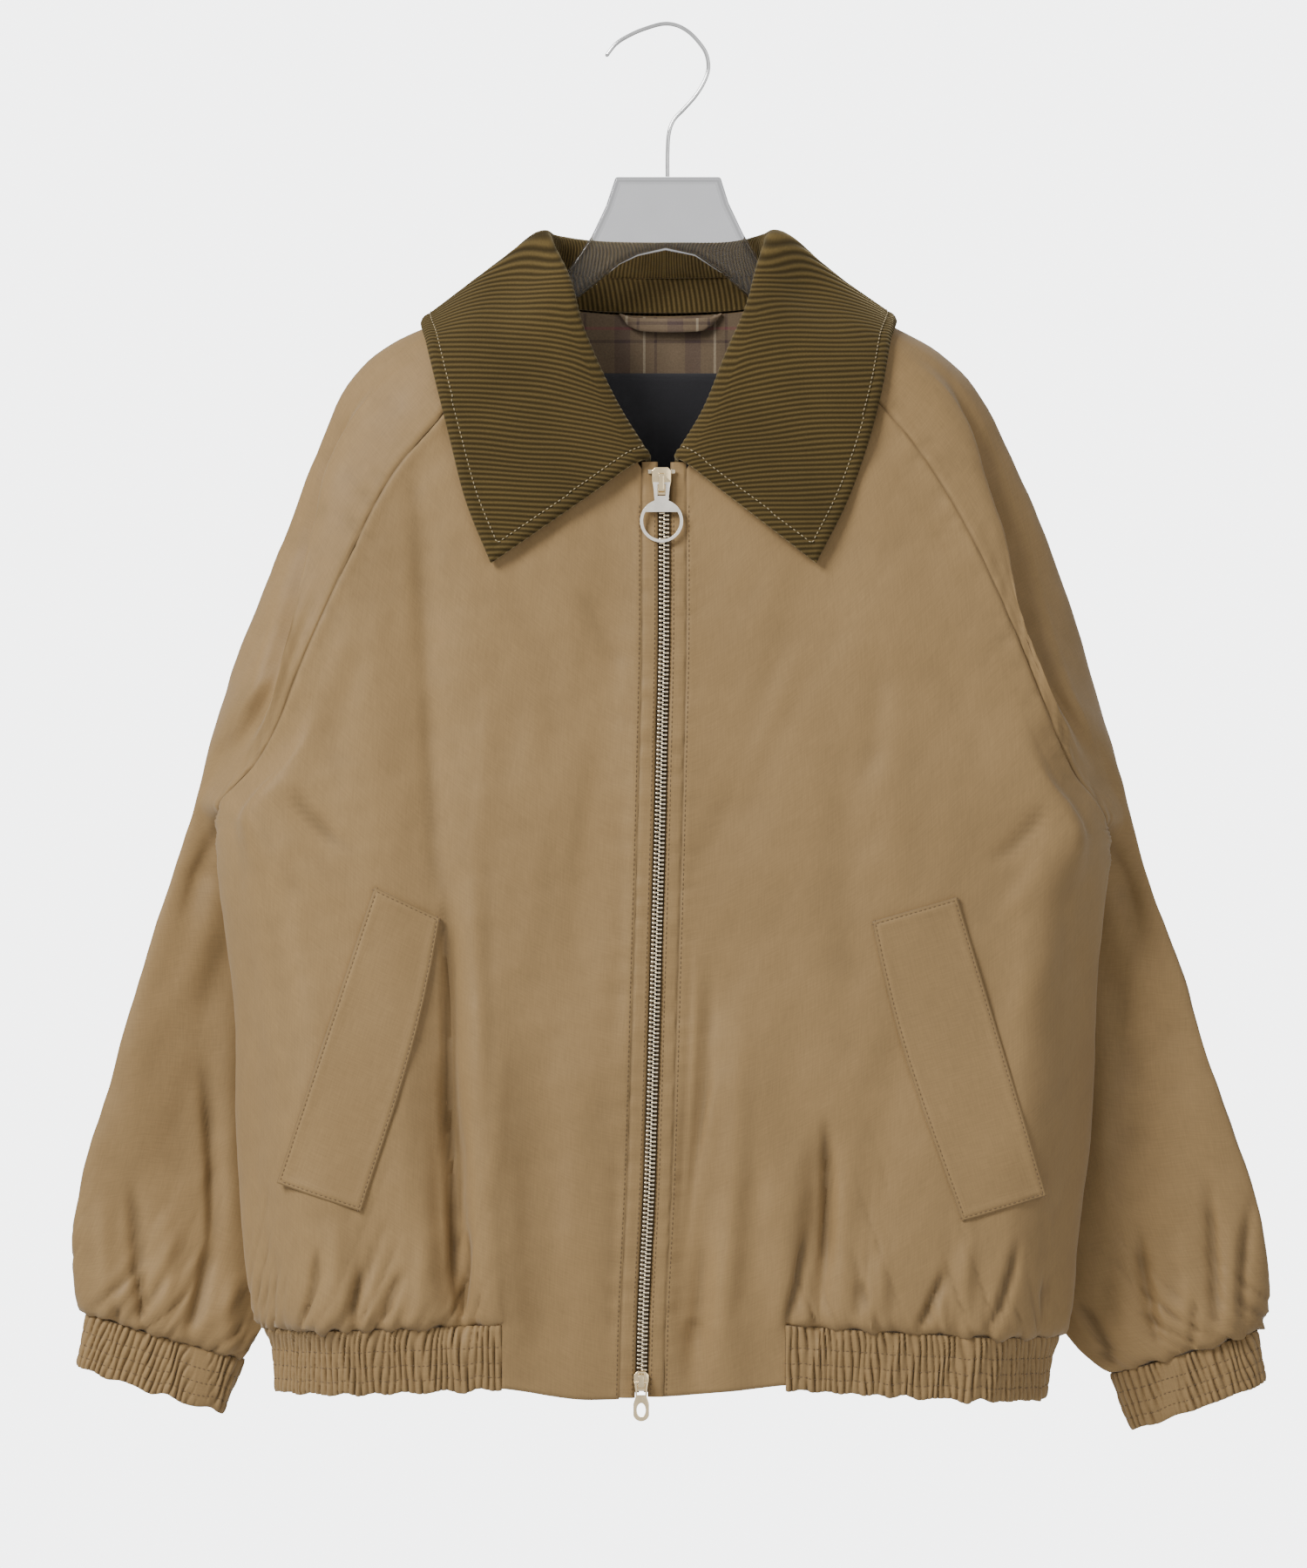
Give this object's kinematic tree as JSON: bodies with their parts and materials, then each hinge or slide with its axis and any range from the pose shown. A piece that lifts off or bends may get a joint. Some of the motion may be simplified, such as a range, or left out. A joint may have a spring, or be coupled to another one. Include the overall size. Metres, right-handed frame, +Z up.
{
  "type": "down jacket on a hanger",
  "caption": "Lightly padded raglan jacket with corduroy collar, two-way zip, slanted welt pockets and gathered hem and cuffs, on a clear hanger with a wire hook.",
  "frame": {"origin": "inside crown of the hanger's hook, where a rail bears", "axes": "+Z up, -Y out of the front of the jacket, +X to the viewer's right"},
  "size_m": [0.7432, 0.1359, 0.8759],
  "materials": {
    "front_left": "soft smooth weave, light sheen",
    "front_right": "soft smooth weave, light sheen",
    "back": "soft smooth weave, light sheen",
    "sleeve_left": "soft smooth weave, light sheen",
    "sleeve_right": "soft smooth weave, light sheen",
    "pocket_welt_left": "soft smooth weave, light sheen",
    "pocket_welt_right": "soft smooth weave, light sheen",
    "collar_fall": "corduroy pile",
    "collar_stand": "corduroy pile",
    "lining_back": "woven check lining",
    "neck_label": "dark woven patch, bare",
    "hanging_loop": "folded tape",
    "zip_strip_left": "soft smooth weave",
    "zip_strip_right": "soft smooth weave",
    "zip_tape_left": "woven tape",
    "zip_tape_right": "woven tape",
    "zip_chain": "metal teeth",
    "zip_stop_left": "metal",
    "zip_stop_right": "metal",
    "top_slider": "polished",
    "bottom_slider": "polished",
    "top_pull": "polished",
    "bottom_pull": "polished",
    "hem_band_left": "gathered elastic band",
    "hem_band_back": "gathered elastic band",
    "hem_band_right": "gathered elastic band",
    "cuff_left": "gathered elastic cuff",
    "cuff_right": "gathered elastic cuff",
    "hanger_body": "clear moulded plastic",
    "hanger_hook": "bright wire"
  },
  "bodies": {
    "jacket": {"front_left": "front_left", "front_right": "front_right", "back": "back", "sleeve_left": "sleeve_left", "sleeve_right": "sleeve_right", "pocket_welt_left": "pocket_welt_left", "pocket_welt_right": "pocket_welt_right", "collar_fall": "collar_fall", "collar_stand": "collar_stand", "lining_back": "lining_back", "neck_label": "neck_label", "hanging_loop": "hanging_loop", "zip_strip_left": "zip_strip_left", "zip_strip_right": "zip_strip_right", "zip_tape_left": "zip_tape_left", "zip_tape_right": "zip_tape_right", "zip_chain": "zip_chain", "zip_stop_left": "zip_stop_left", "zip_stop_right": "zip_stop_right", "top_slider": "top_slider", "bottom_slider": "bottom_slider", "hem_band_left": "hem_band_left", "hem_band_back": "hem_band_back", "hem_band_right": "hem_band_right", "cuff_left": "cuff_left", "cuff_right": "cuff_right", "hanger_body": "hanger_body", "hanger_hook": "hanger_hook"},
    "top_pull": {"top_pull": "top_pull"},
    "bottom_pull": {"bottom_pull": "bottom_pull"}
  },
  "joints": [
    {"name": "top_pull_swing", "type": "hinge", "parent": "jacket", "child": "top_pull", "pos_m": [-0.0016, -0.05042, -0.286], "axis": [-1, 0, 0], "range_deg": [0, 150]},
    {"name": "bottom_pull_swing", "type": "hinge", "parent": "jacket", "child": "bottom_pull", "pos_m": [-0.014, -0.05924, -0.8356], "axis": [-1, 0, 0], "range_deg": [0, 150]}
  ]
}
